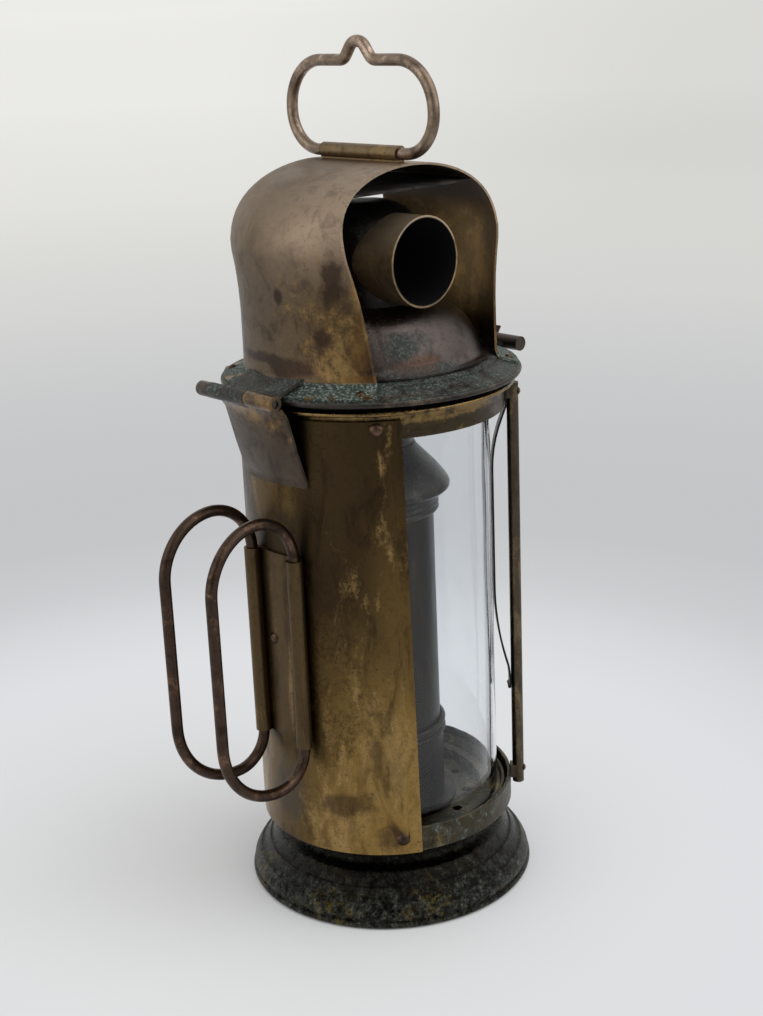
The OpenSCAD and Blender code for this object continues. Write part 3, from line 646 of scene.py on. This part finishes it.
# Tone of the floor at each distance from FLOOR_MIDDLE.
FLOOR_TONES = [(0.12, 0.740), (0.20, 0.760), (0.26, 0.705), (0.32, 0.620), (0.40, 0.572),
               (0.50, 0.570), (0.65, 0.580), (0.80, 0.600), (1.20, 0.665), (2.20, 0.735),
               (5.00, 0.790), (60.0, 0.810)]
FLOOR_RADIUS = 300.0
FLOOR_GAP = 0.0002
FLOOR_MIDDLE = (0.034, 0.038, 0.0)
FLOOR_COOL = (0.975, 0.985, 1.01)
FLOOR_WARM = (1.01, 1.005, 0.970)
FLOOR_DIM_SIDE = (-0.67, -0.74, 0.0)
FLOOR_LIT = 1.10  # paper near the lantern is lit by the lamps, and needs this much more white
FLOOR_LIT_END = 0.06
FLOOR_GLOW_START = 0.20


def add_floor():
    """Pale floor that shades like a paper sweep: bright, then a soft grey bend, then bright."""
    bpy.ops.mesh.primitive_circle_add(vertices=128, radius=FLOOR_RADIUS, fill_type="NGON")
    floor = bpy.context.object
    floor.name = "floor"
    floor.location.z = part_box("foot_edge_wire")[0].z - FLOOR_GAP
    paint = Paint("paper")
    shift = paint.add("ShaderNodeVectorMath", operation="SUBTRACT")
    paint.put(shift.inputs[0], paint.place)
    paint.put(shift.inputs[1], FLOOR_MIDDLE)
    away = paint.add("ShaderNodeVectorMath", operation="LENGTH")
    paint.put(away.inputs[0], shift.outputs[0])
    distance = away.outputs["Value"]
    tone = FLOOR_TONES[0][1]
    for (near, _), (far, shade) in zip(FLOOR_TONES, FLOOR_TONES[1:]):
        share = paint.add("ShaderNodeMapRange")
        for key, value in (("Value", distance), ("From Min", near), ("From Max", far)):
            paint.put(share.inputs[key], value)
        blend = paint.add("ShaderNodeMix")
        paint.put(blend.inputs["Factor"], share.outputs["Result"])
        paint.put(blend.inputs["A"], tone)
        paint.put(blend.inputs["B"], shade)
        tone = blend.outputs["Result"]
    across = paint.add("ShaderNodeVectorMath", operation="DOT_PRODUCT")
    paint.put(across.inputs[0], paint.place)
    paint.put(across.inputs[1], FLOOR_DIM_SIDE)
    turned = paint.math("DIVIDE", across.outputs["Value"], distance)
    far = paint.between(distance, 0.8, 3.0)
    dim = paint.math("MULTIPLY", far, paint.between(turned, -0.12, 0.24, -0.035, 0.13))
    tone = paint.math("MULTIPLY", tone, paint.math("SUBTRACT", 1.0, dim))
    tint = paint.mix(paint.between(distance, 0.3, 1.8), FLOOR_COOL, FLOOR_WARM)
    paper = paint.add("ShaderNodeVectorMath", operation="SCALE")
    paint.put(paper.inputs[0], tint)
    paint.put(paper.inputs["Scale"], tone)
    lit_paper = paint.add("ShaderNodeVectorMath", operation="SCALE")
    paint.put(lit_paper.inputs[0], paper.outputs[0])
    paint.put(lit_paper.inputs["Scale"], FLOOR_LIT)
    lit = paint.add("ShaderNodeBsdfDiffuse")
    paint.put(lit.inputs["Color"], lit_paper.outputs[0])
    glow = paint.add("ShaderNodeEmission")
    paint.put(glow.inputs["Color"], paper.outputs[0])
    either = paint.add("ShaderNodeMixShader")
    paint.put(either.inputs[0], paint.between(distance, FLOOR_LIT_END, FLOOR_GLOW_START))
    paint.put(either.inputs[1], lit.outputs["BSDF"])
    paint.put(either.inputs[2], glow.outputs["Emission"])
    output = paint.add("ShaderNodeOutputMaterial")
    paint.put(output.inputs["Surface"], either.outputs[0])
    floor.data.materials.append(paint.material)


MIDDLE = Vector((0.0, 0.0, 0.15))
KEY_PLACE = (-1.2, -0.4, 1.3)
KEY_SIDE = 2.2
KEY_POWER = 17.0
FILL_PLACE = (0.2, 1.6, 0.9)
FILL_SIDE = 1.8
FILL_POWER = 9.0
WORLD_COLOR = (1.0, 0.995, 0.965, 1.0)
WORLD_BRIGHT = 0.81
WORLD_DIM = 0.24
WORLD_SEEN = WORLD_BRIGHT * 1.035  # what the camera itself sees above the floor
DIM_START = 0.35  # cosine of the angle from the camera's side of the room
DIM_END = 0.9


def add_softbox(name, place, side, power):
    """Square lamp that shines at the lantern's middle."""
    lamp = bpy.data.lights.new(name, "AREA")
    lamp.shape = "SQUARE"
    lamp.size = side
    lamp.energy = power
    holder = bpy.data.objects.new(name, lamp)
    bpy.context.scene.collection.objects.link(holder)
    holder.location = place
    aim = MIDDLE - Vector(place)
    holder.rotation_euler = aim.to_track_quat("-Z", "Y").to_euler()


def add_light():
    """Two softboxes, and a room that is dim behind the camera and bright elsewhere."""
    add_softbox("key", KEY_PLACE, KEY_SIDE, KEY_POWER)
    add_softbox("fill", FILL_PLACE, FILL_SIDE, FILL_POWER)
    world = bpy.data.worlds.new("studio")
    bpy.context.scene.world = world
    world.use_nodes = True
    tree = world.node_tree
    back = tree.nodes["Background"]
    back.inputs["Color"].default_value = WORLD_COLOR
    toward = tree.nodes.new("ShaderNodeVectorMath")
    toward.operation = "DOT_PRODUCT"
    ray = tree.nodes.new("ShaderNodeNewGeometry")
    tree.links.new(ray.outputs["Incoming"], toward.inputs[0])
    toward.inputs[1].default_value = (MIDDLE - camera_place()).normalized()
    dim = tree.nodes.new("ShaderNodeMapRange")
    dim.interpolation_type = "SMOOTHSTEP"
    for key, value in (("From Min", DIM_START), ("From Max", DIM_END),
                       ("To Min", WORLD_BRIGHT), ("To Max", WORLD_DIM)):
        dim.inputs[key].default_value = value
    tree.links.new(toward.outputs["Value"], dim.inputs["Value"])
    rays = tree.nodes.new("ShaderNodeLightPath")
    seen = tree.nodes.new("ShaderNodeMix")
    tree.links.new(rays.outputs["Is Camera Ray"], seen.inputs["Factor"])
    tree.links.new(dim.outputs["Result"], seen.inputs["A"])
    seen.inputs["B"].default_value = WORLD_SEEN
    tree.links.new(seen.outputs["Result"], back.inputs["Strength"])


CAMERA_TURN = 227.7  # degrees round the lantern
CAMERA_PAN = -0.17  # degrees off the lantern's axis
CAMERA_DISTANCE = 0.5401
CAMERA_HEIGHT = 0.3095
CAMERA_TILT = 17.65  # degrees downwards
CAMERA_ROLL = -2.41
CAMERA_LENS = 56.88


def camera_place():
    """Where the camera stands, on the side that CAMERA_TURN names."""
    turn = math.radians(CAMERA_TURN - 90)
    return Vector((CAMERA_DISTANCE * math.cos(turn), CAMERA_DISTANCE * math.sin(turn),
                   CAMERA_HEIGHT))


def add_camera():
    """The camera stands off the lantern's hinged side and looks slightly down."""
    data = bpy.data.cameras.new("camera")
    data.lens = CAMERA_LENS
    data.clip_start = 0.01
    camera = bpy.data.objects.new("camera", data)
    bpy.context.scene.collection.objects.link(camera)
    aim = Matrix.Rotation(math.radians(CAMERA_TURN + CAMERA_PAN), 4, "Z")
    aim = aim @ Matrix.Rotation(math.radians(90.0 - CAMERA_TILT), 4, "X")
    aim = aim @ Matrix.Rotation(math.radians(CAMERA_ROLL), 4, "Z")
    camera.matrix_world = Matrix.Translation(camera_place()) @ aim
    bpy.context.scene.camera = camera


paint_nodes()
add_floor()
add_light()
add_camera()
bpy.context.scene.view_settings.view_transform = "Standard"
